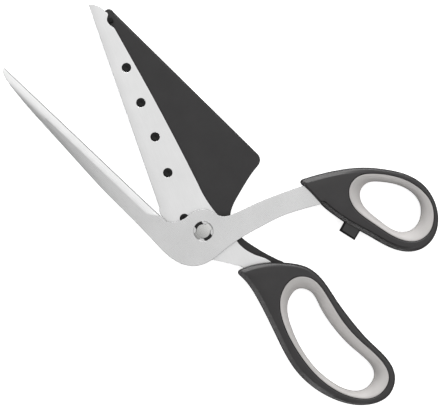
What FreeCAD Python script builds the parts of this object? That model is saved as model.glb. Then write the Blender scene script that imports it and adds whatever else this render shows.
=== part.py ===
import FreeCAD, Part
import math
import os

# Take-apart pizza shears with a clip-on server, lying flat. Millimetres.
# Origin: on the resting plane, straight under the pivot. +Y runs from the pivot to the lower blade's tip,
# +Z is up through the thickness. The upper half is drawn closed and then turned open about the pivot.

V = FreeCAD.Vector
PIVOT_AXIS = V(0, 0, 1)

# ---- driving dimensions ----
OPEN_ANGLE = 24.0          # degrees between closed and the rest pose

SERVER_THICK = 2.2         # moulded server plate, its underside is the resting face
BLADE_GAP = 0.1            # server to lower blade
LOWER_THICK = 2.2          # lower blade and its tang
WASHER_THICK = 0.3         # nylon washer between the blades
RUNNING_GAP = 0.05         # sliding play between washer and upper blade, and round the stud
UPPER_THICK = 2.4          # upper blade and its tang

LOWER_BOTTOM = SERVER_THICK + BLADE_GAP
LOWER_TOP = LOWER_BOTTOM + LOWER_THICK
WASHER_TOP = LOWER_TOP + WASHER_THICK
UPPER_BOTTOM = WASHER_TOP + RUNNING_GAP
UPPER_TOP = UPPER_BOTTOM + UPPER_THICK

HANDLE_THICK = 11.4
HANDLE_ROUND = 1.5         # rounding of the handles' long outer edges
HANDLE_CORNER = 1.7        # rounding of their sharp front corner
HANDLE_MID = HANDLE_THICK / 2
LINER_INSET = 0.25         # how far the soft liners stand back from the handle faces
LINER_LIP = 0.7            # flat lip at the liner's outer rim
FLARE_SHARE = 0.35         # share of the liner's height that is the straight waist
LOOP_EDGES = 4             # edges that a closed curve is divided into

EDGE_BEVEL_WIDTH = 1.3     # lower blade's ground bevel
EDGE_BEVEL_DEPTH = 1.2
GRIND_RADIUS = 20.0        # upper blade's hollow grind, as left by a wheel of this radius
GRIND_WIDTH = 5.0
GRIND_DEPTH = 1.6
GRIND_START = 1.5          # where the grinding wheel's end is, from the heel along the edge
GRIND_RUNOUT = 12.0        # rounding of the wheel's rim where the grind ends at the heel

SHANK_RADIUS = 3.9
HEAD_LENGTH = 10.6         # stud head: the end of the shank with two opposite ears
EAR_WIDTH = 4.4
HEAD_HEIGHT = 0.95
HEAD_TURN = 10.0           # direction of the ears, degrees from +X
COUNTERBORE_RADIUS = 5.55
COUNTERBORE_DEPTH = 1.1
SLOT_LENGTH = 10.9         # release notches beside the shank's hole, which the ears can pass through
SLOT_WIDTH = EAR_WIDTH + 0.3
SLOT_TURN = 76.0           # direction of the notches when closed, degrees from +X
NECK_RADIUS = 2.75         # stud where it passes through the lower blade
TAIL_RADIUS = 4.4          # riveted tail under the lower blade
TAIL_HEIGHT = 0.9
TAIL_TAPER = 0.7           # the tail's lower end, as a share of its radius
WASHER_RADIUS = 9.5

PEG_RADIUS = 2.5           # server pegs that clip into the lower blade
PEG_PLAY = 0.08
PEG_SHORT = 0.1            # how far the pegs stop below the blade's top face
PEG_CHAMFER = 0.25
PEG_PLACES = [(3.2, 101.2), (1.5, 80.0), (-0.1, 59.3), (-2.9, 38.2), (-6.2, 11.1)]
LUG_PLACE = (7.3, 129.0)   # locating lug that sits in the notch near the lower blade's tip
LUG_RADIUS = 1.5
ROOT_DEPTH = 0.5           # how far the pegs and the lug start inside the plate

SERVER_BEVEL = 1.1         # thinned rim of the server's long scooping edge
TAIL_THIN = 0.6            # how much thinner the server's tail is under the finger handle
RECESS_PLAY = 0.6          # room round the stud's tail in the server, and how deep its recess is
RECESS_DEPTH = 1.0

LOCK_HOLE_RADIUS = 2.5     # holes in the tangs that the moulded handles fill
LOWER_LOCK_HOLE = (18.5, -38.5)
UPPER_LOCK_HOLE = (60.0, -38.5)

STOP_BOTTOM = 3.0          # stop bumper on the thumb handle
STOP_TOP = 8.8
STOP_CORNERS = [(48.15, -58.9), (49.3, -68.8), (58.0, -67.6), (56.5, -57.4)]
STOP_ROUND = 0.8

# ---- outlines, upper half in its closed position ----
LOWER_TIP = (0.3, 142.4)
LOWER_HEEL = (-15.9, 22.9)
LOWER_BLADE = [
    [LOWER_TIP, LOWER_HEEL],
    [LOWER_HEEL, (-17.0, 19.6), (-16.3, 15.7)],
    [(-16.3, 15.7), (-14.9, 7.5), (-14.3, -1.5), (-9.8, -10.8)],
    [(-9.8, -10.8), (9.5, -26.8)],
    [(9.5, -26.8), (12.6, -33.0), (13.2, -42.0)],
    [(13.2, -42.0), (16.6, -46.6), (20.6, -43.8)],
    [(20.6, -43.8), (26.4, -38.0), (25.4, -31.4), (20.6, -25.8), (16.4, -19.9), (14.3, -13.5)],
    [(14.3, -13.5), (13.1, -2.0), (11.0, 5.9), (9.6, 14.4), (9.4, 24.6)],
    [(9.4, 24.6), (9.4, 55.4), (8.9, 82.0), (7.6, 116.0), (7.3, 123.6)],
    [(7.3, 123.6), (6.1, 126.2), (5.5, 129.0), (6.2, 130.8), (7.4, 132.1), (7.0, 134.4)],
    [(7.0, 134.4), (5.6, 138.2), (2.9, 141.0), LOWER_TIP],
]

UPPER_TIP = (1.0, 143.9)
UPPER_HEEL = (-8.7, 21.2)
UPPER_BLADE = [
    [UPPER_TIP, UPPER_HEEL],
    [UPPER_HEEL, (-8.2, 18.3), (-5.9, 15.5), (-3.1, 13.5), (1.4, 12.1)],
    [(1.4, 12.1), (8.6, 8.6), (12.15, 1.0)],
    [(12.15, 1.0), (13.6, -3.6), (17.6, -6.7), (28.6, -12.1), (39.6, -18.0), (53.4, -26.4)],
    [(53.4, -26.4), (65.6, -34.6)],
    [(65.6, -34.6), (66.6, -40.6), (60.8, -46.4)],
    [(60.8, -46.4), (51.6, -40.4), (43.2, -34.6), (34.7, -29.2), (23.1, -23.9), (11.0, -19.0),
     (-2.3, -15.4), (-10.6, -13.5), (-17.4, -9.4), (-21.6, -2.8), (-22.9, 5.4), (-22.0, 16.0),
     (-20.3, 28.9), (-17.1, 58.8), (-14.0, 79.7), (-10.8, 100.6), (-7.5, 121.4), (-5.2, 132.3),
     (-2.9, 140.0), (-1.0, 143.5)],
    [(-1.0, 143.5), (0.1, 144.3), UPPER_TIP],
]

SERVER = [
    [(10.9, 132.8), (46.9, 25.0)],
    [(46.9, 25.0), (46.8, 21.6), (44.6, 19.1)],
    [(44.6, 19.1), (36.6, 15.2), (27.9, 9.8), (20.6, 4.6), (17.0, 0.0), (16.5, -8.0)],
    [(16.5, -8.0), (18.0, -14.0), (20.9, -19.6), (25.6, -27.2), (31.0, -34.4)],
    [(31.0, -34.4), (31.4, -39.0), (26.6, -38.6)],
    [(26.6, -38.6), (17.8, -28.2), (9.6, -17.6), (0.0, -11.6), (-9.4, -6.4), (-12.0, 3.0)],
    [(-12.0, 3.0), (-13.7, 12.0), (-13.2, 24.0)],
    [(-13.2, 24.0), (0.9, 128.0)],
    [(0.9, 128.0), (3.2, 133.6), (7.5, 135.6)],
    [(7.5, 135.6), (9.6, 135.2), (10.9, 132.8)],
]
SERVER_TAIL_START = -26.0  # the tail is thinned from here on, before it goes under the finger handle
TAIL_POCKET = [
    [(14.5, -25.0), (23.8, -24.0)],
    [(23.8, -24.0), (31.5, -34.2)],
    [(31.5, -34.2), (31.7, -39.4), (26.0, -38.9)],
    [(26.0, -38.9), (14.5, -25.0)],
]

FINGER_CORNER = (5.6, -28.5)
FINGER_HANDLE = [
    FINGER_CORNER, (8.6, -36.5), (9.8, -48.0), (9.9, -60.0), (9.6, -76.0), (10.6, -92.0), (15.9, -107.0),
    (25.4, -119.7), (38.9, -128.1), (50.5, -128.4), (58.8, -120.0), (58.9, -109.0), (54.9, -96.8),
    (51.0, -81.3), (48.7, -67.0), (47.3, -55.5), (43.4, -45.4), (35.4, -38.2), (26.0, -32.8), (15.0, -29.2),
    FINGER_CORNER,
]
FINGER_OPENING = [
    (29.8, -46.7), (20.6, -54.0), (16.8, -65.4), (16.2, -77.4), (17.4, -89.4), (20.3, -101.1),
    (25.6, -111.9), (33.6, -120.9), (44.6, -125.2), (54.8, -119.6), (55.3, -108.0), (51.2, -96.6),
    (47.5, -85.1), (45.7, -73.2), (44.8, -61.1), (41.0, -49.9),
]
FINGER_WAIST = [
    (29.8, -53.0), (22.5, -59.4), (19.8, -68.9), (19.0, -78.9), (19.7, -88.8), (21.9, -98.6),
    (25.9, -107.7), (31.8, -115.7), (40.7, -119.6), (49.0, -114.6), (48.5, -105.1), (44.7, -95.9),
    (41.6, -86.3), (39.7, -76.5), (39.0, -66.6), (37.8, -56.7),
]
THUMB_CORNER = (54.9, -23.1)
THUMB_HANDLE = [
    THUMB_CORNER, (54.8, -29.5), (53.9, -37.0), (53.0, -43.0), (53.0, -51.0), (53.9, -61.0), (56.0, -72.3),
    (58.3, -85.4), (62.2, -94.8), (69.5, -101.0), (78.6, -101.9), (88.2, -97.1), (94.6, -88.8),
    (97.3, -79.9), (96.2, -69.0), (91.2, -58.0), (84.0, -47.3), (74.0, -37.1), (64.5, -29.6), THUMB_CORNER,
]
THUMB_OPENING = [
    (75.1, -47.2), (67.5, -49.7), (63.3, -56.7), (62.6, -64.9), (63.2, -73.1), (64.0, -81.3),
    (66.1, -89.3), (70.9, -95.8), (78.7, -97.9), (86.3, -94.9), (91.8, -88.8), (94.0, -80.9),
    (93.6, -72.7), (91.2, -64.8), (87.3, -57.5), (82.3, -51.0),
]
THUMB_WAIST = [
    (76.7, -53.7), (70.9, -55.2), (67.6, -60.2), (66.7, -66.2), (66.7, -72.3), (66.9, -78.4),
    (68.3, -84.3), (72.1, -89.0), (77.9, -90.7), (83.6, -88.9), (88.1, -84.8), (90.2, -79.1),
    (90.0, -73.0), (88.2, -67.2), (85.3, -61.8), (81.8, -56.9),
]


def at(point, z=0.0):
    return V(point[0], point[1], z)


def curve(points, z):
    """Smooth open curve through the points, which may end where it starts, in a corner."""
    spline = Part.BSplineCurve()
    spline.interpolate([at(p, z) for p in points])
    return spline


def loop_wire(spline):
    """Wire of a curve that closes on itself, divided into several smooth edges."""
    first = spline.FirstParameter
    step = (spline.LastParameter - first) / LOOP_EDGES
    return Part.Wire([spline.toShape(first + i * step, first + (i + 1) * step) for i in range(LOOP_EDGES)])


def run_edge(points, z):
    """Two points make a straight edge, three an arc, and more a smooth curve."""
    if len(points) == 2:
        return Part.makeLine(at(points[0], z), at(points[1], z))
    if len(points) == 3:
        return Part.Arc(*[at(p, z) for p in points]).toShape()
    return curve(points, z).toShape()


def outline_face(runs, z):
    return Part.Face(Part.Wire([run_edge(points, z) for points in runs]))


def plate(runs, bottom, top):
    return outline_face(runs, bottom).extrude(V(0, 0, top - bottom))


def closed_loop(points, z):
    """Smooth closed wire through the points."""
    spline = Part.BSplineCurve()
    spline.interpolate([at(p, z) for p in points], PeriodicFlag=True)
    return loop_wire(spline)


def loop_prism(points, bottom, top):
    return Part.Face(closed_loop(points, bottom)).extrude(V(0, 0, top - bottom))


def cylinder(place, radius, bottom, top):
    return Part.makeCylinder(radius, top - bottom, at(place, bottom))


def eared_disc(radius, length, width, turn, bottom, top):
    """Disc with two opposite ears that end on a larger circle, their line turned from +X."""
    bar = Part.makeBox(length, width, top - bottom, V(-length / 2, -width / 2, bottom))
    bar.rotate(V(0, 0, 0), PIVOT_AXIS, turn)
    ears = bar.common(cylinder((0, 0), length / 2, bottom, top))
    return ears.fuse(cylinder((0, 0), radius, bottom, top)).removeSplitter()


def toward(start, end):
    """Unit vector in the XY plane from one point to another."""
    direction = at(end) - at(start)
    return direction.normalize()


def edges_at(shape, z, keep):
    """Edges that lie at height z and whose middle passes the keep test."""
    found = []
    for edge in shape.Edges:
        box = edge.BoundBox
        middle = edge.valueAt((edge.FirstParameter + edge.LastParameter) / 2)
        if abs(box.ZMin - z) < 0.01 and abs(box.ZMax - z) < 0.01 and keep(middle):
            found.append(edge)
    return found


def lower_tang_and_blade():
    """Lower blade before its bevel and holes: it is also the core that the finger handle is moulded round."""
    blank = plate(LOWER_BLADE, LOWER_BOTTOM, LOWER_TOP)
    return blank.cut(cylinder(LOWER_LOCK_HOLE, LOCK_HOLE_RADIUS, LOWER_BOTTOM - 1, LOWER_TOP + 1))


def lower_blade():
    blade = lower_tang_and_blade()
    along = toward(LOWER_HEEL, LOWER_TIP)
    inward = V(along.y, -along.x, 0)
    start = at(LOWER_HEEL, LOWER_BOTTOM) - along * 2
    # the bevel is ground on the underside, so that the edge meets the upper blade
    corners = [
        start - inward * 1.0 + V(0, 0, -1.0),
        start - inward * 1.0 + V(0, 0, EDGE_BEVEL_DEPTH * (1 + 1.0 / EDGE_BEVEL_WIDTH)),
        start + inward * EDGE_BEVEL_WIDTH,
        start + inward * EDGE_BEVEL_WIDTH + V(0, 0, -1.0),
    ]
    wedge = Part.Face(Part.makePolygon(corners + corners[:1])).extrude(along * 130)
    blade = blade.cut(wedge)
    blade = blade.cut(cylinder((0, 0), NECK_RADIUS, LOWER_BOTTOM - 1, LOWER_TOP + 1))
    for place in PEG_PLACES:
        blade = blade.cut(cylinder(place, PEG_RADIUS + PEG_PLAY, LOWER_BOTTOM - 1, LOWER_TOP + 1))
    return blade


def pivot_stud():
    """Riveted stud: eared head, round shank for the upper blade, neck through the lower blade, and tail."""
    head_bottom = UPPER_TOP - COUNTERBORE_DEPTH + RUNNING_GAP
    head = eared_disc(SHANK_RADIUS, HEAD_LENGTH, EAR_WIDTH, HEAD_TURN, head_bottom, head_bottom + HEAD_HEIGHT)
    shank = cylinder((0, 0), SHANK_RADIUS, LOWER_TOP, head_bottom)
    neck = cylinder((0, 0), NECK_RADIUS, LOWER_BOTTOM, LOWER_TOP)
    tail = Part.makeCone(TAIL_RADIUS * TAIL_TAPER, TAIL_RADIUS, TAIL_HEIGHT, V(0, 0, LOWER_BOTTOM - TAIL_HEIGHT))
    return head.fuse([shank, neck, tail]).removeSplitter()


def pivot_washer():
    ring = cylinder((0, 0), WASHER_RADIUS, LOWER_TOP, WASHER_TOP)
    return ring.cut(cylinder((0, 0), SHANK_RADIUS, LOWER_TOP - 1, WASHER_TOP + 1))


def upper_tang_and_blade():
    blank = plate(UPPER_BLADE, UPPER_BOTTOM, UPPER_TOP)
    return blank.cut(cylinder(UPPER_LOCK_HOLE, LOCK_HOLE_RADIUS, UPPER_BOTTOM - 1, UPPER_TOP + 1))


def grinding_wheel():
    """Round wheel along the cutting edge: it leaves the hollow grind and its curved run-out at the heel."""
    along = toward(UPPER_HEEL, UPPER_TIP)
    outward = V(along.y, -along.x, 0)
    chord = math.hypot(GRIND_WIDTH, GRIND_DEPTH)
    reach = math.sqrt(GRIND_RADIUS ** 2 - (chord / 2) ** 2)
    side = -GRIND_WIDTH / 2 + reach * GRIND_DEPTH / chord
    rise = -GRIND_DEPTH / 2 + reach * GRIND_WIDTH / chord
    centre = at(UPPER_HEEL, UPPER_TOP) + along * GRIND_START + outward * side + V(0, 0, rise)
    wheel = Part.makeCylinder(GRIND_RADIUS, 140, centre, along)
    rim = [e for e in wheel.Edges if e.BoundBox.Center.distanceToPoint(centre) < 1.0]
    return wheel.makeFillet(GRIND_RUNOUT, rim)


def upper_blade():
    blade = upper_tang_and_blade().cut(grinding_wheel())
    floor = UPPER_TOP - COUNTERBORE_DEPTH
    blade = blade.cut(cylinder((0, 0), COUNTERBORE_RADIUS, floor, UPPER_TOP + 1))
    hole_radius = SHANK_RADIUS + RUNNING_GAP
    slot = eared_disc(hole_radius, SLOT_LENGTH, SLOT_WIDTH, SLOT_TURN, UPPER_BOTTOM - 1, floor + 0.1)
    return blade.cut(slot)


def server_tail_cut():
    """Slab over the server's tail that thins it where it passes under the tang and the finger handle."""
    top = SERVER_THICK - TAIL_THIN
    return Part.makeBox(60, 30, TAIL_THIN + 1, V(0, SERVER_TAIL_START - 30, top))


def server():
    """Moulded plate with a thinned scooping edge, five pegs, a locating lug and a blind recess for the stud's tail."""
    body = plate(SERVER, 0, SERVER_THICK)
    scoop_rim = edges_at(body, SERVER_THICK, lambda m: m.x > 11 and m.y > 60)
    body = body.makeChamfer(SERVER_BEVEL, scoop_rim)
    body = body.cut(server_tail_cut())
    body = body.cut(cylinder((0, 0), TAIL_RADIUS + RECESS_PLAY, SERVER_THICK - RECESS_DEPTH, SERVER_THICK + 1))
    for place in PEG_PLACES:
        peg = cylinder(place, PEG_RADIUS, SERVER_THICK - ROOT_DEPTH, LOWER_TOP - PEG_SHORT)
        body = body.fuse(peg.makeChamfer(PEG_CHAMFER, edges_at(peg, LOWER_TOP - PEG_SHORT, lambda m: True)))
    body = body.fuse(cylinder(LUG_PLACE, LUG_RADIUS, SERVER_THICK - ROOT_DEPTH, LOWER_TOP - PEG_SHORT))
    return body.removeSplitter()


def server_tail_pocket():
    """Space under the finger handle that the server's tail lies in, open downwards."""
    return plate(TAIL_POCKET, -1, SERVER_THICK - TAIL_THIN + BLADE_GAP)


def handle_shell(outer, opening):
    """Moulded handle: rounded outer edges, with the loop's opening cut through."""
    body = Part.Face(loop_wire(curve(outer, 0))).extrude(V(0, 0, HANDLE_THICK))
    front = at(outer[0], HANDLE_MID)
    corner = [e for e in body.Edges if e.BoundBox.Center.distanceToPoint(front) < 0.1]
    body = body.makeFillet(HANDLE_CORNER, corner)
    rims = edges_at(body, 0, lambda m: True) + edges_at(body, HANDLE_THICK, lambda m: True)
    body = body.makeFillet(HANDLE_ROUND, rims)
    return body.cut(loop_prism(opening, -1, HANDLE_THICK + 1))


def shrink(points, waist, amount):
    """Points of a loop moved inwards, towards the matching points of the waist."""
    moved = []
    for point, inner in zip(points, waist):
        step = at(inner) - at(point)
        end = at(point) + step.normalize() * amount
        moved.append((end.x, end.y))
    return moved


def liner(opening, waist):
    """Soft ring that fills the loop's opening: flared at both faces, narrowest at mid height."""
    bottom = LINER_INSET
    top = HANDLE_THICK - LINER_INSET
    waist_low = HANDLE_MID - FLARE_SHARE * HANDLE_MID
    waist_high = HANDLE_MID + FLARE_SHARE * HANDLE_MID
    mouth = shrink(opening, waist, LINER_LIP)
    ring = loop_prism(opening, bottom, top)
    ring = ring.cut(loop_prism(waist, bottom - 1, top + 1))
    for waist_z, mouth_z in ((waist_low, bottom), (waist_high, top)):
        wires = [closed_loop(waist, waist_z), closed_loop(mouth, mouth_z)]
        ring = ring.cut(Part.makeLoft(wires, True, True))
    return ring


def lower_handle():
    body = handle_shell(FINGER_HANDLE, FINGER_OPENING)
    return body.cut(lower_tang_and_blade()).cut(server_tail_pocket())


def handle_stop():
    """Bumper that meets the finger handle when the shears close: its root sits in a pocket of the thumb handle."""
    wire = Part.makePolygon([at(p, STOP_BOTTOM) for p in STOP_CORNERS + STOP_CORNERS[:1]])
    block = Part.Face(wire).extrude(V(0, 0, STOP_TOP - STOP_BOTTOM))
    rims = edges_at(block, STOP_TOP, lambda m: m.x < 53) + edges_at(block, STOP_BOTTOM, lambda m: m.x < 53)
    return block.makeFillet(STOP_ROUND, rims)


def upper_handle():
    body = handle_shell(THUMB_HANDLE, THUMB_OPENING)
    return body.cut(upper_tang_and_blade()).cut(handle_stop())


def turned_open(shape):
    shape.rotate(V(0, 0, 0), PIVOT_AXIS, OPEN_ANGLE)
    return shape


def main():
    nodes = {
        "lower_blade": lower_blade(),
        "lower_handle": lower_handle(),
        "lower_handle_liner": liner(FINGER_OPENING, FINGER_WAIST),
        "pivot_stud": pivot_stud(),
        "pivot_washer": pivot_washer(),
        "upper_blade": turned_open(upper_blade()),
        "upper_handle": turned_open(upper_handle()),
        "upper_handle_liner": turned_open(liner(THUMB_OPENING, THUMB_WAIST)),
        "handle_stop": turned_open(handle_stop()),
        "server": server(),
    }
    os.makedirs("parts", exist_ok=True)
    for name, shape in nodes.items():
        print(name, "solids", len(shape.Solids), "valid", shape.isValid(), "volume", round(shape.Volume, 1))
        shape.exportStep("parts/" + name + ".step")


main()
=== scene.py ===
import math

import bpy
import numpy as np
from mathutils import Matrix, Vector
from mathutils.geometry import delaunay_2d_cdt


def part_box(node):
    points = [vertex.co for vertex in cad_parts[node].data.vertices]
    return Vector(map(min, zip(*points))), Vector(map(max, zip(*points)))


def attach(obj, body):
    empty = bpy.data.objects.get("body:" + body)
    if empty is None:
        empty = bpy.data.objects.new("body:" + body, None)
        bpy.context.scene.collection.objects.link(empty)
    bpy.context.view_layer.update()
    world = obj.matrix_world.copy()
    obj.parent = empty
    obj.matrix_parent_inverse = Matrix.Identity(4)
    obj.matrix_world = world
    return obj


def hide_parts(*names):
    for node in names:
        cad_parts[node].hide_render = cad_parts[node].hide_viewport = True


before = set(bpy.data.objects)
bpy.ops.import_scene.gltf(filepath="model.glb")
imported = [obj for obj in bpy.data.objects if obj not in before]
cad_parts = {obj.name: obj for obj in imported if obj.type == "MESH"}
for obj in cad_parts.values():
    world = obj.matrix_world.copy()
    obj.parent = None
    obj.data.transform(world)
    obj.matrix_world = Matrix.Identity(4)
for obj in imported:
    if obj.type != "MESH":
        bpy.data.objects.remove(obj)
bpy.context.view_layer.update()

# Take-apart pizza shears with a clip-on server, lying flat. Outlines and most levels are read from the CAD
# nodes. Lengths are millimetres here; meshes, lights and the camera are scaled to metres where they are made.
MM = 0.001

# ---- reading the CAD nodes ----
WELD = 0.002               # corner points nearer than this are one point
LEVEL = 0.004              # how far from a height a point may lie and still be on it
CORNER_TURN = 16           # degrees: a sharper turn of an outline is a corner
LONG_SIDE = 7.0            # a longer side is straight
OUTLINE_STEP = 0.8         # spacing of the points on an outline
HEAD_STEP = 0.35           # the same round the stud's head
STOP_STEP = 0.5            # and round the stop
STEP_SLACK = 0.2           # a side this much of a step too long isn't divided once more
SHARP_ANGLE = math.radians(34)  # faces that meet at more than this have a sharp edge between them
CHUNK = 1500               # points handled at a time

# ---- filling the outlines with points ----
ROW_TRUE = 0.985           # a row's points keep this share of its distance from their own outline
ROW_ROOM = (0.3, 0.25)     # room between a row and another outline: fixed, and a share of the row's distance
ROW_GAP = 1.6              # in outline steps: neighbours in a row are joined up to here
GRID_ROOM = 0.35           # in grid spacings: room between the widest row and the grid
LINE_ROOM = 0.4            # in grid spacings: room between an inner line and the grid
LINE_POINTS = 150          # points on each side of an inner line
RING_STEP = 0.6            # spacing of the points on a ring round the pivot
MERGE = 1e-4               # points nearer than this become one
TINY = 1e-6                # least width to divide by

# ---- shape details that the CAD solids leave plain ----
# steel plates
ROUND_ARC = (14, 30, 48, 68, 90)  # degrees of arc at which a rounded edge has a row of points
PLATE_ROUND = 0.24         # broken edges of the steel plates
STEEL_SIDE = 0.8           # a steel face whose normal rises less than this gets the darker steel of the sides, painted shade
PLASTIC_SIDE = 0.5         # the same for the handles and the stop
WALL = 0.03                # an upright wall inside a face leans by this much
# lower blade
EDGE_FALL_WIDTH = 4.5      # its face falls away softly towards the cutting edge
EDGE_FALL_DROP = 0.2
EDGE_FALL_LINES = (0.7, 2.1, 3.2, 4.5)  # distances from the edge at which the face has a line of points
EDGE_FALL_ENDS = 4         # the lines stop this far from the edge's ends
EDGE_BEVEL_WIDTH = 1.3     # ground bevel on its underside
EDGE_BEVEL_DEPTH = 1.2
EDGE_BEVEL_START = 1.5     # where the bevel begins, from the heel along the edge
EDGE_BEVEL_FULL = 9.0      # where it reaches its full width
EDGE_BEVEL_ENDS = (1, 0.8)  # its line runs this far past the tip, and stops this far short of the beginning
# upper blade
GRIND_DEPTH = 1.5          # hollow grind along the cutting edge
GRIND_START = 1.5          # where the grind begins, from the heel along the edge
GRIND_FULL = 10.0          # where it reaches its full width
GRIND_DEEPENING = 0.7      # 1 deepens it in step with its width, less deepens it sooner
GRIND_WIDTH = 4.4
GRIND_CURVE = 1.3          # 1 is a flat bevel, more is hollow
GRIND_LINE = (1.2, 0.7)    # its line starts this far past the beginning, and ends at this share of the edge
CROWN_TILT = (0.025, 0.155)  # slope of the face beyond the grind at the heel, and its gain by the tip
CROWN_GAIN = (5, 95)       # where along the edge the slope gains
CROWN_START = (-8, 8)      # where it begins
CROWN_FALL = 0.6           # how much the slope steepens towards the spine
HONED_WIDTH = 0.45         # fine bevel on the very edge
HONED_DROP = 0.2
HONED_START = (1, 4)       # where along the edge it begins
HONED_ENDS = 3             # its line stops this far from the edge's ends
CRISP_WIDTH = 0.6          # this near the cutting edge most of the rounding is left out
CRISP_START = 2            # this far from the heel
CRISP_SHARE = 0.9
SPINE_ROUND = 0.3          # rounded edge of the spine
SPINE_MARGIN = 0.3         # points this much nearer the spine than the cutting edge have it
COUNTERBORE_RADIUS = 5.55
COUNTERBORE_FLOOR = 6.15
# server
SERVER_TOP = 2.2           # level of the plate
RIM_WIDTH = 1.1            # thinned rim of the plate's long edge
SERVER_ROUND = 0.35
SERVER_ROUND_DEPTH = 0.5
SERVER_UNDER_SHARE = 0.4   # share of that rounding on the underside
RECESS_RADIUS = 5.0        # recess for the stud's tail
RECESS_DEPTH = 1.0
TAIL_TOP = 1.6             # level of the tail under the finger handle
TAIL_START = -26.0
PEG_FOOT = 1.9             # foot of the pegs and of the lug, sunk in the plate
PEG_RADIUS = 2.5
PEG_SHOULDER = ((0, 0.3), (0.06, 0.14), (0.25, 0.03), (0.6, 0))  # insets and depths below the top
PEG_DIMPLE = ((0.9, 0), (0.7, 0.12), (0, 0.14))  # radii and depths of the dimple in the top
PEG_REACH = 5              # peg holes are further than this from the pivot, towards the tip
LUG_RADIUS = 1.5
LUG_SHOULDER = ((0, 0.25), (0.08, 0.08), (0.3, 0))
LUG_FACE = ((0, 0),)
LUG_SEGMENTS = 32
# stud
HEAD_ROUND = 0.2
HEAD_DOME = 0.7            # how much lower the head is at its rim
HEAD_UNDERSIDE = 6.2
SHANK_SUNK = 0.1           # how far the shank reaches into the head
SHANK_RADIUS = 3.9
SHANK_GAP = 0.02           # its shoulder's height above the lower blade
NECK_RADIUS = 2.75
RIVET_FACE = ((2.9, 0), (3.2, 0.12))  # radii of the riveted tail, and heights above its face
RIVET_RIM = ((4.35, 0.2), (4.4, 0.05))  # and depths below the blade
# handles
OUTLINE_DEPTH = 1.5        # how far below its top a handle's outline is read
FACET_SLOPE = 0.88         # steepness of the facets along the flanks
FACET_RIDGE = 0.5          # how much lower than the top a facet's inner edge is
WIDE_FACET = 2.8
NARROW_FACET = 2.2
GROOVE_DEPTH = 0.8         # groove beside the thumb handle's narrow facet
# The flank reached first going counter-clockwise from the front corner, then the other one: the facet's
# width, the distances from the corner at which it starts to fade and is gone, and its groove's depth.
FINGER_FACETS = ((WIDE_FACET, 78, 102, 0), (NARROW_FACET, 6, 34, 0))
THUMB_FACETS = ((NARROW_FACET, 50, 78, GROOVE_DEPTH), (WIDE_FACET, 14, 48, 0))
FRONT_LENGTH = 17.5        # thumb handle's narrow front edge, from the corner down
FRONT_WIDTH = 1.0          # its steep chamfer
FLANK_DEPTH = 4.4          # how far down the edges reach
FLANK_ROWS = (0.05, 0.12, 0.25, 0.4, 0.7, 1.1, 1.4, 1.6, 2.1, 2.2, 2.32, 2.6, 2.72, 2.95, 3.3, 4.2)
SHOULDER_WIDTH = 1.8       # round shoulder where there is no facet
SHOULDER_DEPTH = 2.8
LOOP_ROUND = 0.8           # edge beside the soft liner
LOOP_DEPTH = 1.7
SEAM_WIDTH = 0.15          # half the width of the mould's parting line round the waist
SEAM_DEPTH = 0.07
POCKET_DEPTH = 1.7         # pocket under the finger handle for the server's tail
POCKET_LEAD = 3.0          # how far its outline is led out past the handle's
STOP_BEVEL_WIDTH = 1.0     # steep bevel round the stop
STOP_BEVEL_DEPTH = 2.0
STOP_ROWS = (0.3, 0.6, 0.9, 1, 1.15)  # shares of that width
# soft liners
LIP_WIDTH = 0.7            # flat lip
LIP_ROUND = 0.2
LINER_FLARE = 4.2          # how far the flare drops from the lip to the waist
LINER_BULGE = 1.25         # how full the flare is: 1 is a straight slope
WAIST_LEVEL = 7.695        # where the liners are tightest
WAIST_ROWS = (0.03, 0.1, 0.22, 0.4, 0.65, 1.0, 1.5, 2.1)

# ---- outlines ----


def smoothstep(start, end, value):
    share = np.clip((value - start) / (end - start), 0, 1)
    return share * share * (3 - 2 * share)


def welded(node):
    """Points of a CAD node's mesh, coinciding ones joined, and its triangles."""
    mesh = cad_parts[node].data
    places = np.array([v.co for v in mesh.vertices]) / MM
    keys = np.round(places / WELD).astype(np.int64)
    _, first, joined = np.unique(keys, axis=0, return_index=True, return_inverse=True)
    mesh.calc_loop_triangles()
    triangles = np.array([t.vertices for t in mesh.loop_triangles])
    return places[first], joined.reshape(-1)[triangles]


def signed_area(loop):
    x, y = loop.T
    return 0.5 * np.sum(x * np.roll(y, -1) - y * np.roll(x, -1))


def walked(beside):
    """Closed chains of points, from a table of each point's two neighbours."""
    chains = []
    while beside:
        start = next(iter(beside))
        chain = [start]
        ahead = beside[start][0]
        while ahead != start:
            chain.append(ahead)
            ahead = next(n for n in beside[ahead] if n != chain[-2])
        for point in chain:
            del beside[point]
        chains.append(chain)
    return chains


def level_loops(node, height):
    """Outlines of a CAD node at a height: the largest first, counter-clockwise, the others clockwise."""
    places, triangles = welded(node)
    level = np.abs(places[:, 2] - height) < LEVEL
    flat_sides = {}
    for triangle in triangles:
        flat = int(level[triangle].all())
        for a, b in zip(triangle, np.roll(triangle, -1)):
            if level[a] and level[b]:
                side = (min(a, b), max(a, b))
                flat_sides[side] = flat_sides.get(side, 0) + flat
    beside = {}
    for (a, b), count in flat_sides.items():
        if count < 2:
            beside.setdefault(a, []).append(b)
            beside.setdefault(b, []).append(a)
    loops = [places[chain][:, :2] for chain in walked(beside)]
    loops.sort(key=lambda loop: -abs(signed_area(loop)))
    wanted = [1] + [-1] * (len(loops) - 1)
    return [loop if signed_area(loop) * turn > 0 else loop[::-1] for loop, turn in zip(loops, wanted)]


def sides_of(loop):
    side = np.roll(loop, -1, axis=0) - loop
    length = np.hypot(*side.T)
    return side / length[:, None], length


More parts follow.
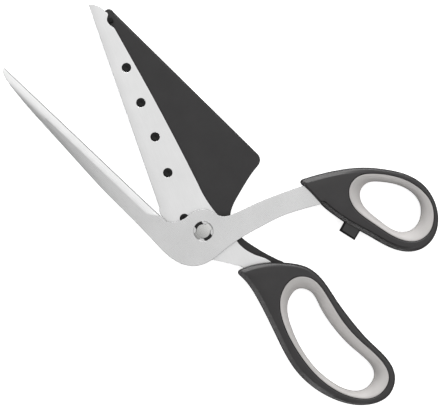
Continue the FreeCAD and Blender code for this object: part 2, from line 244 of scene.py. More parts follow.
def smooth(loop, step=OUTLINE_STEP):
    """The loop with points about a step apart: curved between corners, straight along long sides."""
    direction, length = sides_of(loop)
    arriving = np.roll(direction, 1, axis=0)
    before = np.roll(length, 1)
    tangent = arriving * length[:, None] + direction * before[:, None]
    tangent /= np.hypot(*tangent.T)[:, None]
    corner = np.sum(arriving * direction, axis=1) < math.cos(math.radians(CORNER_TURN))
    tangent = np.where((length > LONG_SIDE)[:, None], direction, tangent)
    tangent = np.where((before > LONG_SIDE)[:, None], arriving, tangent)
    leave = np.where(corner[:, None], direction, tangent)
    arrive = np.where(corner[:, None], arriving, tangent)
    stretches = []
    for i in range(len(loop)):
        j = (i + 1) % len(loop)
        count = max(1, math.ceil(length[i] / step - STEP_SLACK))
        t = np.arange(count)[:, None] / count
        start, end = loop[i], loop[j]
        if length[i] > LONG_SIDE:
            stretch = start + (end - start) * t
        else:
            stretch = (
                (2 * t ** 3 - 3 * t ** 2 + 1) * start
                + (t ** 3 - 2 * t ** 2 + t) * leave[i] * length[i]
                + (3 * t ** 2 - 2 * t ** 3) * end
                + (t ** 3 - t ** 2) * arrive[j] * length[i]
            )
        stretches.append(stretch)
    return np.vstack(stretches)


def distance_to(line, points, closed=True):
    """Distance from each point to a line of points."""
    ends = np.roll(line, -1, axis=0) if closed else line[1:]
    starts = line if closed else line[:-1]
    side = ends - starts
    square = np.maximum(np.sum(side * side, axis=1), 1e-12)
    nearest = []
    for some in np.array_split(points, max(1, len(points) // CHUNK)):
        apart = some[:, None, :] - starts[None]
        share = np.clip(np.sum(apart * side, axis=2) / square, 0, 1)
        gap = apart - share[..., None] * side
        nearest.append(np.sqrt(np.min(np.sum(gap * gap, axis=2), axis=1)))
    return np.concatenate(nearest)


def inside(loop, points):
    x, y = points[:, 0, None], points[:, 1, None]
    ax, ay = loop.T
    bx, by = np.roll(loop, -1, axis=0).T
    crosses = (ay > y) != (by > y)
    rise = np.where(by == ay, 1, by - ay)
    return (np.sum(crosses & (x < (bx - ax) * (y - ay) / rise + ax), axis=1) % 2).astype(bool)


def mitres(loop):
    """Steps by which each point moves into the material for one unit of inset."""
    direction, _ = sides_of(loop)
    normal = np.column_stack((-direction[:, 1], direction[:, 0]))
    before = np.roll(normal, 1, axis=0)
    return (normal + before) / np.maximum(1 + np.sum(normal * before, axis=1), 0.3)[:, None]


def ring(radius):
    """Circle of points round the pivot."""
    turns = np.linspace(0, 2 * math.pi, int(2 * math.pi * radius / RING_STEP), endpoint=False)
    return np.column_stack((radius * np.cos(turns), radius * np.sin(turns)))


def centre_of(loop):
    return (loop.min(axis=0) + loop.max(axis=0)) / 2


def longest_side(loop):
    """Start and end of an outline's longest straight side."""
    _, length = sides_of(loop)
    i = int(np.argmax(length))
    return loop[i], loop[(i + 1) % len(loop)]


def along_and_across(start, end, points):
    """How far each point lies along a line from its start, and how far to the line's left."""
    direction = (end - start) / np.hypot(*(end - start))
    apart = points - start
    return apart @ direction, direction[0] * apart[:, 1] - direction[1] * apart[:, 0]


# ---- profiles ----


def rounded(distance, width, depth=None):
    """How far a rounded edge has dropped at a distance from its outline; it is as deep as wide by default."""
    share = np.clip(1 - distance / width, 0, 1)
    return (width if depth is None else depth) * (1 - np.sqrt(1 - share ** 2))


def round_rows(width):
    """Distances at which a rounded edge needs rows of points, and one just past it."""
    return [width * (1 - math.cos(math.radians(arc))) for arc in ROUND_ARC] + [width * 1.1]


# ---- solids between two height functions ----


def constant(value):
    """A function that has one value everywhere."""
    return lambda places: np.full(len(places), value)


def mirrored(top, low, high):
    """The underside that is a top face's mirror image between two levels."""
    return lambda points: low + high - top(points)


def rows_inside(loops, row_sets):
    """Rows of points parallel to the outlines, cut short where another outline is nearer."""
    rows = []
    for number, (loop, distances) in enumerate(zip(loops, row_sets)):
        others = [other for k, other in enumerate(loops) if k != number]
        step = mitres(loop)
        for distance in distances:
            moved = loop + step * distance
            kept = distance_to(loop, moved) > distance * ROW_TRUE
            for other in others:
                kept &= distance_to(other, moved) > ROW_ROOM[0] + ROW_ROOM[1] * distance
            kept &= inside(loops[0], moved)
            rows.append((moved, kept))
    return rows


def joined_rows(rows):
    """Kept points of the rows, and the sides between neighbours."""
    points, sides = [], []
    for moved, kept in rows:
        chosen = np.flatnonzero(kept)
        base = sum(len(p) for p in points)
        points.append(moved[chosen])
        for k in range(len(chosen)):
            following = (k + 1) % len(chosen)
            gap = moved[chosen[k]] - moved[chosen[following]]
            if 0 < np.hypot(*gap) < ROW_GAP * OUTLINE_STEP or chosen[following] == chosen[k] + 1:
                sides.append((base + k, base + following))
    return points, sides


def grid_inside(loops, margin, spacing, avoid):
    """Staggered grid of points between the outlines, clear of them and of the lines to avoid."""
    low, high = loops[0].min(axis=0), loops[0].max(axis=0)
    xs = np.arange(low[0], high[0], spacing)
    ys = np.arange(low[1], high[1], spacing)
    grid = np.array([(x + (k % 2) * spacing / 2, y) for k, y in enumerate(ys) for x in xs])
    kept = inside(loops[0], grid)
    for hole in loops[1:]:
        kept &= ~inside(hole, grid)
    grid = grid[kept]
    for loop in loops:
        grid = grid[distance_to(loop, grid) > margin]
    for line in avoid:
        grid = grid[distance_to(line, grid) > spacing * LINE_ROOM]
    return grid


def triangulated(loops, row_sets, lines, spacing):
    """Points and triangles that fill the outlines, with rows and inner lines as edges."""
    row_points, row_sides = joined_rows(rows_inside(loops, row_sets))
    widest = max([0] + [d for rows in row_sets for d in rows])
    grid = grid_inside(loops, widest + GRID_ROOM * spacing, spacing, lines)
    parts, sides, base = [], [], 0
    for loop in list(loops) + list(lines):
        sides += [(base + k, base + (k + 1) % len(loop)) for k in range(len(loop))]
        parts.append(loop)
        base += len(loop)
    sides += [(base + a, base + b) for a, b in row_sides]
    flat = np.vstack(parts + row_points + [grid])
    made = delaunay_2d_cdt([Vector(p) for p in flat], sides, [], 0, MERGE)
    points = np.array([tuple(p) for p in made[0]])
    triangles = np.array([f for f in made[2] if len(f) == 3])
    middles = points[triangles].mean(axis=1)
    kept = inside(loops[0], middles)
    for hole in loops[1:]:
        kept &= ~inside(hole, middles)
    used, triangles = np.unique(triangles[kept], return_inverse=True)
    return points[used], triangles.reshape(-1, 3)


def rims(triangles):
    """Closed chains of points round the outer sides of the triangles."""
    sides = dict.fromkeys(side for triangle in triangles for side in zip(triangle, np.roll(triangle, -1)))
    after = {a: b for a, b in sides if (b, a) not in sides}
    chains, left = [], set(after)
    while left:
        chain = [left.pop()]
        while after[chain[-1]] in left:
            left.discard(after[chain[-1]])
            chain.append(after[chain[-1]])
        chains.append(chain)
    return chains


def relief(name, loops, row_sets, top, bottom, lines=(), spacing=1.6, wall_rows=()):
    """Closed solid over the outlines between two height functions.

    row_sets are the distances from each outline at which there is a row of points, lines are closed lines of
    points between the outlines, and wall_rows are the heights and insets of rows round the upright sides."""
    points, triangles = triangulated(loops, row_sets, lines, spacing)
    count = len(points)
    places = [np.column_stack((points, height(points))) for height in (top, bottom)]
    faces = [tuple(t) for t in triangles] + [tuple(t[::-1] + count) for t in triangles]
    size = 2 * count
    for chain in rims(triangles):
        around = points[chain]
        step = mitres(around)
        levels = [[c + count for c in chain]]
        for height, inset in wall_rows:
            places.append(np.column_stack((around + step * inset, np.full(len(chain), height))))
            levels.append(list(range(size, size + len(chain))))
            size += len(chain)
        levels.append(chain)
        for under, over in zip(levels, levels[1:]):
            for k in range(len(chain)):
                j = (k + 1) % len(chain)
                faces.append((under[k], under[j], over[j], over[k]))
    return solid(name, np.vstack(places), faces)


def solid(name, places, faces):
    mesh = bpy.data.meshes.new(name)
    mesh.from_pydata((places * MM).tolist(), [], [tuple(int(i) for i in f) for f in faces])
    mesh.validate()
    mesh.shade_smooth()
    mesh.set_sharp_from_angle(angle=SHARP_ANGLE)
    piece = bpy.data.objects.new(name, mesh)
    bpy.context.scene.collection.objects.link(piece)
    return piece


def turned(name, profile, place=(0, 0), segments=56):
    """Closed solid of revolution; the profile is (radius, height) from the bottom's centre to the top's."""
    inner = [p for p in profile if p[0] > 0]
    turns = np.linspace(0, 2 * math.pi, segments, endpoint=False)
    places = [
        (place[0] + radius * math.cos(t), place[1] + radius * math.sin(t), height)
        for radius, height in inner
        for t in turns
    ]
    faces = [
        (row * segments + k, row * segments + (k + 1) % segments,
         (row + 1) * segments + (k + 1) % segments, (row + 1) * segments + k)
        for row in range(len(inner) - 1)
        for k in range(segments)
    ]
    bottom, top = len(places), len(places) + 1
    places += [(*place, profile[0][1]), (*place, profile[-1][1])]
    last = (len(inner) - 1) * segments
    faces += [(bottom, (k + 1) % segments, k) for k in range(segments)]
    faces += [(top, last + k, last + (k + 1) % segments) for k in range(segments)]
    return solid(name, np.array(places, dtype=float), faces)


def finished(piece, body, slot, material, *nodes):
    """Gives a piece its material and its body, and hides the CAD nodes that it stands for; slot is not used.
    """
    piece.data.materials.append(material)
    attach(piece, body)
    if nodes:
        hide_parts(*nodes)
    return piece


# ---- materials ----
NOISE_RANGE = (0.3, 0.7)   # most of a noise texture's values lie in here


def new_material(name):
    made = bpy.data.materials.new(name)
    made.use_nodes = True
    return made, made.node_tree, made.node_tree.nodes["Principled BSDF"]


def scaled_coordinates(tree, scale, turn=0.0):
    """The piece's own coordinates, turned about Z and scaled: 1 unit of noise is 1 / scale metres."""
    coordinates = tree.nodes.new("ShaderNodeTexCoord")
    mapping = tree.nodes.new("ShaderNodeMapping")
    mapping.vector_type = "TEXTURE"
    mapping.inputs["Rotation"].default_value = (0, 0, turn)
    mapping.inputs["Scale"].default_value = tuple(1 / s for s in scale)
    tree.links.new(coordinates.outputs["Object"], mapping.inputs["Vector"])
    return mapping.outputs["Vector"]


def noise(tree, vector, detail, roughness=0.55):
    made = tree.nodes.new("ShaderNodeTexNoise")
    made.inputs["Scale"].default_value = 1.0
    made.inputs["Detail"].default_value = detail
    made.inputs["Roughness"].default_value = roughness
    tree.links.new(vector, made.inputs["Vector"])
    return made.outputs["Fac"]


def map_range(tree, value, source, target, kind="LINEAR"):
    made = tree.nodes.new("ShaderNodeMapRange")
    made.interpolation_type = kind
    for name, number in zip(("From Min", "From Max", "To Min", "To Max"), (*source, *target)):
        made.inputs[name].default_value = number
    tree.links.new(value, made.inputs["Value"])
    return made.outputs["Result"]


def arithmetic(tree, operation, *terms):
    """Result of a maths node; each term is a number or another node's output."""
    made = tree.nodes.new("ShaderNodeMath")
    made.operation = operation
    for socket, term in zip(made.inputs, terms):
        if isinstance(term, (int, float)):
            socket.default_value = term
        else:
            tree.links.new(term, socket)
    return made.outputs[0]


def tinted(tree, value, dark, light):
    """Mixes two colours by a value between 0 and 1."""
    made = tree.nodes.new("ShaderNodeMix")
    made.data_type = "RGBA"
    made.inputs["A"].default_value = (*dark, 1)
    made.inputs["B"].default_value = (*light, 1)
    tree.links.new(value, made.inputs["Factor"])
    return made.outputs["Result"]


def bumped(tree, shader, height, strength, distance):
    made = tree.nodes.new("ShaderNodeBump")
    made.inputs["Strength"].default_value = strength
    made.inputs["Distance"].default_value = distance
    tree.links.new(height, made.inputs["Height"])
    tree.links.new(made.outputs["Normal"], shader.inputs["Normal"])


def steel(name, dark, light, rough, turn=0.0):
    """Satin steel with fine grinding marks along one direction and soft cloudy variation."""
    made, tree, shader = new_material(name)
    marks = noise(tree, scaled_coordinates(tree, (9000, 130, 130), turn), detail=5)
    clouds = noise(tree, scaled_coordinates(tree, (60, 60, 60)), detail=2)
    shader.inputs["Metallic"].default_value = 1.0
    mark_share, cloud_share = 0.6, 0.4
    tone = arithmetic(tree, "MULTIPLY_ADD", map_range(tree, marks, NOISE_RANGE, (0, 1)), mark_share,
                      map_range(tree, clouds, NOISE_RANGE, (0, cloud_share)))
    sheen = map_range(tree, marks, NOISE_RANGE, (rough - 0.05, rough + 0.06))
    tree.links.new(tinted(tree, tone, dark, light), shader.inputs["Base Color"])
    tree.links.new(sheen, shader.inputs["Roughness"])
    bumped(tree, shader, marks, strength=0.1, distance=0.00002)
    return made


def plastic(name, dark, light, rough, grain, depth=0.00005, specular=0.5):
    """Moulded plastic with faint paler patches and a grain: more is finer, and its depth is in metres."""
    made, tree, shader = new_material(name)
    fine = noise(tree, scaled_coordinates(tree, (grain,) * 3), detail=3, roughness=0.6)
    patches = noise(tree, scaled_coordinates(tree, (90, 90, 90)), detail=3)
    patchy = map_range(tree, patches, NOISE_RANGE, (0, 1))
    sheen = map_range(tree, fine, NOISE_RANGE, (rough - 0.06, rough + 0.08))
    tree.links.new(tinted(tree, patchy, dark, light), shader.inputs["Base Color"])
    tree.links.new(sheen, shader.inputs["Roughness"])
    shader.inputs["Specular IOR Level"].default_value = specular
    bumped(tree, shader, fine, strength=0.35, distance=depth)
    return made


# ---- the pieces ----
# Each function makes its pieces from the outlines of the CAD node that they stand for.


def height_of(node):
    low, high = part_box(node)
    return low.z / MM, high.z / MM


def shade_steep_sides(piece, material, steepest):
    """Gives the steep sides of a piece a darker second material, painted shade: the faces whose normal rises
    less than steepest.
    """
    piece.data.materials.append(material)
    for face in piece.data.polygons:
        if abs(face.normal.z) < steepest:
            face.material_index = 1


def edge_line(edge, across, first, last):
    """Thin closed line beside a cutting edge, there and back; across gives its distance from the edge."""
    start, end = edge
    direction = (end - start) / np.hypot(*(end - start))
    left = np.array((-direction[1], direction[0]))
    along = np.linspace(first, last, LINE_POINTS)
    there = start + direction * along[:, None] + left * across(along)[:, None]
    return np.vstack((there, there[::-1] + left * WALL))


def lower_blade(material, side_shade_steel):
    """Its outline is read at the top; the edge runs from the tip, where along is 0, to the heel."""
    low, high = height_of("lower_blade")
    raw = level_loops("lower_blade", high)
    loops = [smooth(loop) for loop in raw]
    edge = longest_side(raw[0])
    length = np.hypot(*(edge[1] - edge[0]))

    def bevel_width(along):
        return EDGE_BEVEL_WIDTH * smoothstep(length - EDGE_BEVEL_START, length - EDGE_BEVEL_FULL, along)

    def top(points):
        _, across = along_and_across(*edge, points)
        drop = EDGE_FALL_DROP * np.clip(1 - across / EDGE_FALL_WIDTH, 0, 1) ** 2
        nearest = np.min([distance_to(loop, points) for loop in loops], axis=0)
        return high - drop - rounded(nearest, PLATE_ROUND)

    def bottom(points):
        along, across = along_and_across(*edge, points)
        width = np.maximum(bevel_width(along), TINY)
        return low + EDGE_BEVEL_DEPTH * width / EDGE_BEVEL_WIDTH * np.clip(1 - across / width, 0, 1)

    past, short = EDGE_BEVEL_ENDS
    lines = [edge_line(edge, constant(w), EDGE_FALL_ENDS, length - EDGE_FALL_ENDS) for w in EDGE_FALL_LINES]
    lines.append(edge_line(edge, bevel_width, -past, length - EDGE_BEVEL_START - short))
    rows = [round_rows(PLATE_ROUND)] * len(loops)
    piece = relief("lower_blade_ground", loops, rows, top, bottom, lines=lines)
    finished(piece, "lower_half", "lower_blade_steel", material, "lower_blade")
    shade_steep_sides(piece, side_shade_steel, STEEL_SIDE)


def upper_blade(material, side_shade_steel):
    """Its outline is read at the bottom; the edge runs from the heel, where along is 0, to the tip."""
    low, high = height_of("upper_blade")
    raw = level_loops("upper_blade", low)
    loops = [smooth(loop) for loop in raw]
    edge = longest_side(raw[0])
    length = np.hypot(*(edge[1] - edge[0]))

    def grind_share(along):
        return smoothstep(GRIND_START, GRIND_FULL, along)

    def grind_width(along):
        return grind_share(along) * GRIND_WIDTH

    def top(points):
        along, across = along_and_across(*edge, points)
        width = np.maximum(grind_width(along), TINY)
        deep = GRIND_DEPTH * grind_share(along) ** GRIND_DEEPENING
        hollow = deep * np.clip(1 - across / width, 0, 1) ** GRIND_CURVE
        spine = distance_to(loops[0], points)
        beyond = np.clip(across - width, 0, None)
        reach = beyond / np.maximum(beyond + spine, TINY)
        tilt = CROWN_TILT[0] + CROWN_TILT[1] * smoothstep(*CROWN_GAIN, along)
        tilt = tilt * smoothstep(*CROWN_START, along)
        crown = tilt * beyond * (1 + CROWN_FALL * reach ** 2)
        honed = HONED_DROP * np.clip(1 - across / HONED_WIDTH, 0, 1) * smoothstep(*HONED_START, along)
        on_spine = across >= spine + SPINE_MARGIN
        broken = np.where(on_spine, rounded(spine, SPINE_ROUND), rounded(spine, PLATE_ROUND))
        crisp = (across < CRISP_WIDTH) & (along > CRISP_START) & (along < length)
        face = high - hollow - crown - honed - broken * (1 - CRISP_SHARE * crisp)
        radius = np.hypot(*points.T)
        face = face - rounded(radius - COUNTERBORE_RADIUS, PLATE_ROUND)
        floor = COUNTERBORE_FLOOR - rounded(distance_to(loops[1], points), PLATE_ROUND)
        return np.where(radius < COUNTERBORE_RADIUS - WALL / 2, floor, face)

    lines = [ring(COUNTERBORE_RADIUS + d) for d in [-WALL, 0] + round_rows(PLATE_ROUND)]
    lines.append(edge_line(edge, constant(HONED_WIDTH), HONED_ENDS, length - HONED_ENDS))
    lines.append(edge_line(edge, grind_width, GRIND_START + GRIND_LINE[0], length * GRIND_LINE[1]))
    rows = [round_rows(SPINE_ROUND)] + [round_rows(PLATE_ROUND)] * (len(loops) - 1)
    piece = relief("upper_blade_ground", loops, rows, top, constant(low), lines=lines, spacing=1.2)
    finished(piece, "upper_half", "upper_blade_steel", material, "upper_blade")
    shade_steep_sides(piece, side_shade_steel, STEEL_SIDE)


def server_plate(material):
    low, _ = height_of("server")
    raw = level_loops("server", low)
    loops = [smooth(loop) for loop in raw]
    scoop = longest_side(raw[0])

    def top(points):
        along, across = along_and_across(*scoop, points)
        beside = (along > 0) & (along < np.hypot(*(scoop[1] - scoop[0])))
        rim = RIM_WIDTH * np.clip(1 - across / RIM_WIDTH, 0, 1) * beside
        tail = (SERVER_TOP - TAIL_TOP) * smoothstep(TAIL_START, TAIL_START - WALL, points[:, 1])
        recess = RECESS_DEPTH * smoothstep(RECESS_RADIUS, RECESS_RADIUS - WALL, np.hypot(*points.T))
        edge = rounded(distance_to(loops[0], points), SERVER_ROUND, SERVER_ROUND_DEPTH)
        return SERVER_TOP - np.maximum(rim, edge) - tail - recess

    def bottom(points):
        return low + SERVER_UNDER_SHARE * rounded(distance_to(loops[0], points), SERVER_ROUND)

    lines = [ring(RECESS_RADIUS - WALL), ring(RECESS_RADIUS)]
    rows = [round_rows(SERVER_ROUND) + [RIM_WIDTH, RIM_WIDTH + 0.1]]
    plate = relief("server_plate", loops, rows, top, bottom, lines=lines, spacing=2.0)
    finished(plate, "server", "server_nylon", material, "server")


def server_pegs(material):
    """Pegs and locating lug, placed where the lower blade's peg holes and notch are."""
    _, top = height_of("server")
    _, blade_top = height_of("lower_blade")

    def profile(radius, shoulder, face):
        rim = [(radius - inset, top - depth) for inset, depth in shoulder]
        return [(0, PEG_FOOT), (radius, PEG_FOOT)] + rim + [(r, top - depth) for r, depth in face]

    centres = [centre_of(loop) for loop in level_loops("lower_blade", blade_top)[1:]]
    centres = sorted((centre for centre in centres if centre[1] > PEG_REACH), key=lambda centre: centre[1])
    for number, centre in enumerate(centres):
        peg = turned(f"server_peg_{number + 1}", profile(PEG_RADIUS, PEG_SHOULDER, PEG_DIMPLE), centre)
        finished(peg, "server", "server_nylon", material)
    tops = [centre_of(loop) for loop in level_loops("server", top)]
    place = max(tops, key=lambda centre: centre[1])
    lug = turned("server_lug", profile(LUG_RADIUS, LUG_SHOULDER, LUG_FACE), place, LUG_SEGMENTS)
    finished(lug, "server", "server_nylon", material)


def pivot_stud(material):
    low, high = height_of("pivot_stud")
    loops = [smooth(level_loops("pivot_stud", high)[0], HEAD_STEP)]
    reach = np.hypot(*loops[0].T).max()

    def top(points):
        dome = HEAD_DOME * (np.hypot(*points.T) / reach) ** 2
        return high - dome - rounded(distance_to(loops[0], points), HEAD_ROUND)

    head = relief("stud_head", loops, [round_rows(HEAD_ROUND)], top, constant(HEAD_UNDERSIDE), spacing=0.6)
    finished(head, "lower_half", "stud_steel", material, "pivot_stud")
    under, over = height_of("lower_blade")
    sunk = HEAD_UNDERSIDE + SHANK_SUNK
    profile = [(0, low)]
    profile += [(radius, low + rise) for radius, rise in RIVET_FACE]
    profile += [(radius, under - depth) for radius, depth in RIVET_RIM]
    profile += [(NECK_RADIUS, under), (NECK_RADIUS, over)]
    profile += [(SHANK_RADIUS, over + SHANK_GAP), (SHANK_RADIUS, sunk), (0, sunk)]
    finished(turned("stud_shank", profile), "lower_half", "stud_steel", material)


def facet_drop(distance, width, groove):
    """How far a flank has dropped beside its outline: steep foot, facet, ridge and groove, soft crown."""
    foot = FACET_RIDGE + FACET_SLOPE * (width - 0.5)
    steps = ((0, FLANK_DEPTH), (0.12, 3.1), (0.4, foot), (width - 0.1, FACET_RIDGE),
             (width + 0.15, 0.36), (width + 2.2, 0.1), (width + 5, 0))
    cut = ((width, 0), (width + 0.12, groove), (width + 0.4, groove), (width + 0.52, 0))
    return np.interp(distance, *zip(*steps)) + np.interp(distance, *zip(*cut))


def handle(name, node, body, material, sides, facets, front_length=0.0):
    """Moulded handle: facets along both flanks from its front corner turn into round shoulders behind."""
    low, high = height_of(node)
    middle = (low + high) / 2
    outer = smooth(level_loops(node, high - OUTLINE_DEPTH)[0])
    opening = smooth(level_loops(node, high)[1])
    outer = np.roll(outer, -int(np.argmin(np.hypot(*outer.T))), axis=0)
    _, length = sides_of(outer)
    travelled = np.concatenate(([0], np.cumsum(length)[:-1]))
    half = np.sum(length) / 2
    flanks = (outer[(travelled >= front_length) & (travelled <= half)],
              np.vstack((outer[travelled >= half], outer[:1])))
    front = outer[travelled <= front_length]
    pocket = tail_pocket(outer) if node == "lower_handle" else None

    def flank(line, width, fading, gone, groove, points):
        distance = distance_to(line, points, closed=False)
        kept = 1 - smoothstep(fading, gone, np.hypot(*(points - outer[0]).T))
        shoulder = rounded(distance, SHOULDER_WIDTH, SHOULDER_DEPTH)
        return kept * facet_drop(distance, width, groove) + (1 - kept) * shoulder

    def top(points):
        drop = np.max([flank(line, *facet, points) for line, facet in zip(flanks, facets)], axis=0)
        if front_length:
            ahead = distance_to(front, points, closed=False)
            drop = np.maximum(drop, FLANK_DEPTH * np.clip(1 - ahead / FRONT_WIDTH, 0, 1))
        return high - drop - rounded(distance_to(opening, points), LOOP_ROUND, LOOP_DEPTH)

    def bottom(points):
        under = mirrored(top, low, high)(points)
        if pocket is not None:
            within = inside(pocket + mitres(pocket) * WALL / 2, points)
            under = np.where(within, np.maximum(under, POCKET_DEPTH), under)
        return under

    seam = [(middle - SEAM_WIDTH, 0), (middle, SEAM_DEPTH), (middle + SEAM_WIDTH, 0)]
    lines = [] if pocket is None else [pocket, pocket + mitres(pocket) * WALL]
    piece = relief(name, [outer, opening], [FLANK_ROWS, round_rows(LOOP_ROUND)], top, bottom,
                   lines=lines, spacing=1.5, wall_rows=seam)
    finished(piece, body, "handle_black", material, node)
    shade_steep_sides(piece, sides, PLASTIC_SIDE)


def tail_pocket(outer):
    """Outline of the finger handle's pocket for the server's tail, led out past the handle's own outline."""
    pocket = level_loops("lower_handle", POCKET_DEPTH)[0]
    mouth = distance_to(outer, pocket) < 0.1
    return smooth(pocket - mitres(pocket) * POCKET_LEAD * mouth[:, None])


def liner(name, node, body, material):
    """Soft ring that lines a loop: a flat lip, then a full flare in to the waist."""
    low, high = height_of(node)
    opening = smooth(level_loops(node, high)[0])
    waist = smooth(level_loops(node, WAIST_LEVEL)[0])[::-1]

    def top(points):
        out, back = distance_to(opening, points), distance_to(waist, points)
        lip = np.clip(out - LIP_WIDTH, 0, None)
        share = lip / np.maximum(lip + back, TINY)
        slope = LINER_FLARE * (1 - (1 - share ** LINER_BULGE) ** (1 / LINER_BULGE))
        return high - slope - rounded(out, LIP_ROUND)

    rows = [round_rows(LIP_ROUND) + [LIP_WIDTH, LIP_WIDTH + 0.15], WAIST_ROWS]
    piece = relief(name, [opening, waist], rows, top, mirrored(top, low, high), spacing=1.0)
    finished(piece, body, "liner_grey", material, node)


def handle_stop(material, sides):
    low, high = height_of("handle_stop")
    places, _ = welded("handle_stop")
    outline = smooth(convex_outline(places[:, :2]), STOP_STEP)

    def top(points):
        return high - STOP_BEVEL_DEPTH * np.clip(1 - distance_to(outline, points) / STOP_BEVEL_WIDTH, 0, 1)

    rows = [[STOP_BEVEL_WIDTH * share for share in STOP_ROWS]]
    piece = relief("stop_bumper", [outline], rows, top, mirrored(top, low, high), spacing=0.8)
    finished(piece, "upper_half", "stop_black", material, "handle_stop")
    shade_steep_sides(piece, sides, PLASTIC_SIDE)


def convex_outline(points):
    """Corners of the smallest convex outline round the points, counter-clockwise."""
    ordered = sorted(map(tuple, np.round(points, 3)))
    halves = []
    for run in (ordered, ordered[::-1]):
        half = []
        for p in run:
            while len(half) > 1 and turn_of(half[-2], half[-1], p) <= 1e-4:
                half.pop()
            half.append(p)
        halves += half[:-1]
    return np.array(halves)


def turn_of(a, b, c):
    """More than 0 where the way from a over b to c turns left."""
    return (b[0] - a[0]) * (c[1] - a[1]) - (b[1] - a[1]) * (c[0] - a[0])


# ---- studio ----
# directions in the picture: UP is along +Y turned towards +X, RIGHT is square to it
VIEW_TURN = math.radians(-27)
RIGHT = Vector((math.cos(VIEW_TURN), math.sin(VIEW_TURN), 0))
UP = Vector((-math.sin(VIEW_TURN), math.cos(VIEW_TURN), 0))
VIEW_CENTRE = Vector((14.5, 7.8, 0))
CAMERA_HEIGHT = 755
LENS = 109.6
SKY_GLOW = 0.72            # brightness of the surroundings, before what they gain towards two directions
TOP_GAIN = 0.27            # towards the top
SIDE_GAIN = 0.69           # towards the picture's upper right
HORIZON_GLOW = 0.16        # at and below the horizon
HORIZON = (-0.1, 0.55)     # upward parts of a direction between which the horizon's glow turns into the sky's
ROOM = 5000                # half the floor's side, and the walls' height
FLOOR_LEVEL = -0.2
FLOOR_GLOW = 0.7
WALL_GLOW = 1.0


def camera():
    made = bpy.data.objects.new("camera", bpy.data.cameras.new("camera"))
    made.data.lens = LENS
    made.data.sensor_width = 36
    made.data.clip_start = 0.01
    made.location = (VIEW_CENTRE + Vector((0, 0, CAMERA_HEIGHT))) * MM
    made.rotation_euler = (0, 0, VIEW_TURN)
    bpy.context.scene.collection.objects.link(made)
    bpy.context.scene.camera = made


def softbox(name, right, up, height, width, length, power):
    """Area light that faces the middle of the object; its place is given in the picture's directions."""
    light = bpy.data.lights.new(name, "AREA")
    light.shape = "RECTANGLE"
    light.size = width * MM
    light.size_y = length * MM
    light.energy = power
    made = bpy.data.objects.new(name, light)
    place = VIEW_CENTRE + RIGHT * right + UP * up + Vector((0, 0, height))
    made.location = place * MM
    made.rotation_euler = (place - VIEW_CENTRE).to_track_quat("Z", "Y").to_euler()
    made.visible_camera = False
    bpy.context.scene.collection.objects.link(made)


def studio():
    """Pale surroundings, brightest overhead and to the upper right, and three low panels for the edges."""
    world = bpy.data.worlds.new("studio")
    world.use_nodes = True
    tree = world.node_tree
    direction = tree.nodes.new("ShaderNodeTexCoord").outputs["Generated"]
    slope = tree.nodes.new("ShaderNodeVectorMath")
    slope.operation = "DOT_PRODUCT"
    slope.inputs[1].default_value = (RIGHT + UP).normalized() * SIDE_GAIN + Vector((0, 0, TOP_GAIN))
    tree.links.new(direction, slope.inputs[0])
    height = tree.nodes.new("ShaderNodeSeparateXYZ")
    tree.links.new(direction, height.inputs[0])
    rise = map_range(tree, height.outputs["Z"], HORIZON, (0, 1), "SMOOTHSTEP")
    gain = arithmetic(tree, "ADD", slope.outputs["Value"], SKY_GLOW - HORIZON_GLOW)
    strength = arithmetic(tree, "MULTIPLY_ADD", gain, rise, HORIZON_GLOW)
    tree.links.new(strength, tree.nodes["Background"].inputs["Strength"])
    tree.nodes["Background"].inputs["Color"].default_value = (1, 1, 1, 1)
    bpy.context.scene.world = world
    softbox("low_top", right=-200, up=1500, height=300, width=2000, length=480, power=26)
    softbox("low_left", right=-1400, up=-560, height=110, width=900, length=210, power=6.5)
    softbox("low_bottom", right=-300, up=-1500, height=110, width=1600, length=210, power=9)


def stage_piece(name, places, faces, glow):
    """Part of the pale surroundings: it is seen, but neither lights nor shades the object."""
    mesh = bpy.data.meshes.new(name)
    mesh.from_pydata([[c * MM for c in place] for place in places], [], faces)
    made = bpy.data.objects.new(name, mesh)
    bpy.context.scene.collection.objects.link(made)
    pale, _, shader = new_material(name + "_white")
    shader.inputs["Roughness"].default_value = 0.9
    shader.inputs["Base Color"].default_value = (0.92, 0.92, 0.92, 1)
    shader.inputs["Specular IOR Level"].default_value = 0.1
    shader.inputs["Emission Color"].default_value = (1, 1, 1, 1)
    shader.inputs["Emission Strength"].default_value = glow
    mesh.materials.append(pale)
    made.visible_diffuse = False
    made.visible_glossy = False
    made.visible_shadow = False


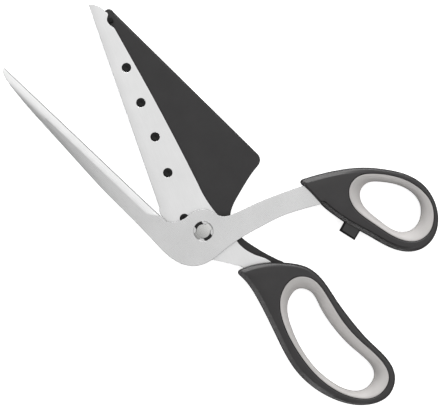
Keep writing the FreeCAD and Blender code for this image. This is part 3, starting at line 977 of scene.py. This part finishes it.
def surroundings():
    """Floor, and four walls far away that keep the background pale in low views."""
    corners = ((-ROOM, -ROOM), (ROOM, -ROOM), (ROOM, ROOM), (-ROOM, ROOM))
    low = [(x, y, FLOOR_LEVEL) for x, y in corners]
    high = [(x, y, ROOM) for x, y in corners]
    walls = [(k, (k + 1) % 4, (k + 1) % 4 + 4, k + 4) for k in range(4)]
    stage_piece("floor", low, [(0, 1, 2, 3)], FLOOR_GLOW)
    stage_piece("backdrop", low + high, walls, WALL_GLOW)


def main():
    bpy.context.scene.view_settings.view_transform = "Standard"
    satin = steel("lower_blade_steel", (0.7, 0.7, 0.7), (0.8, 0.8, 0.8), rough=0.36, turn=-0.08)
    ground = steel("upper_blade_steel", (0.58, 0.58, 0.58), (0.68, 0.68, 0.68), rough=0.28, turn=0.33)
    # darker, rougher steel for the plates' steep sides: painted shade along their edges
    side_shade_steel = steel("steel_sides_painted_shade", (0.16, 0.16, 0.16), (0.26, 0.26, 0.26), rough=0.6)
    stud = steel("stud_steel", (0.42, 0.42, 0.41), (0.6, 0.6, 0.59), rough=0.25)
    black = plastic("handle_black", (0.0165, 0.0152, 0.0157), (0.0225, 0.0208, 0.0214), 0.42, 2400, 0.00009)
    nylon = plastic("server_nylon", (0.011, 0.01, 0.0105), (0.0155, 0.0145, 0.015), 0.5, 2600)
    # darker, less glossy copy of the server's nylon for the pegs and lug: painted shade of the blade's holes
    # and notch they sit in
    shaded_pegs = plastic("peg_nylon_painted_shade", (0.004, 0.004, 0.004), (0.007, 0.007, 0.007), 0.4, 2600, specular=0.2)
    # darker, less glossy copy of the handles' black for the steep faces of the handles and the stop: painted
    # shade
    sides = plastic("plastic_sides_painted_shade", (0.009, 0.0085, 0.0088), (0.012, 0.0114, 0.0118), 0.46, 2400,
                    specular=0.2)
    bumper = plastic("stop_black", (0.019, 0.0186, 0.0188), (0.025, 0.0245, 0.0248), 0.45, 3500)
    washer = plastic("washer_nylon", (0.008, 0.008, 0.008), (0.013, 0.013, 0.013), 0.5, 3000)
    soft = plastic("liner_grey", (0.435, 0.42, 0.41), (0.485, 0.468, 0.458), 0.6, 2200, 0.00003)
    lower_blade(satin, side_shade_steel)
    upper_blade(ground, side_shade_steel)
    server_plate(nylon)
    server_pegs(shaded_pegs)
    pivot_stud(stud)
    handle("handle_finger", "lower_handle", "lower_half", black, sides, FINGER_FACETS)
    handle("handle_thumb", "upper_handle", "upper_half", black, sides, THUMB_FACETS, FRONT_LENGTH)
    liner("liner_finger", "lower_handle_liner", "lower_half", soft)
    liner("liner_thumb", "upper_handle_liner", "upper_half", soft)
    handle_stop(bumper, sides)
    ring_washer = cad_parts["pivot_washer"]
    ring_washer.data.materials.clear()
    ring_washer.data.materials.append(washer)
    camera()
    studio()
    surroundings()


main()
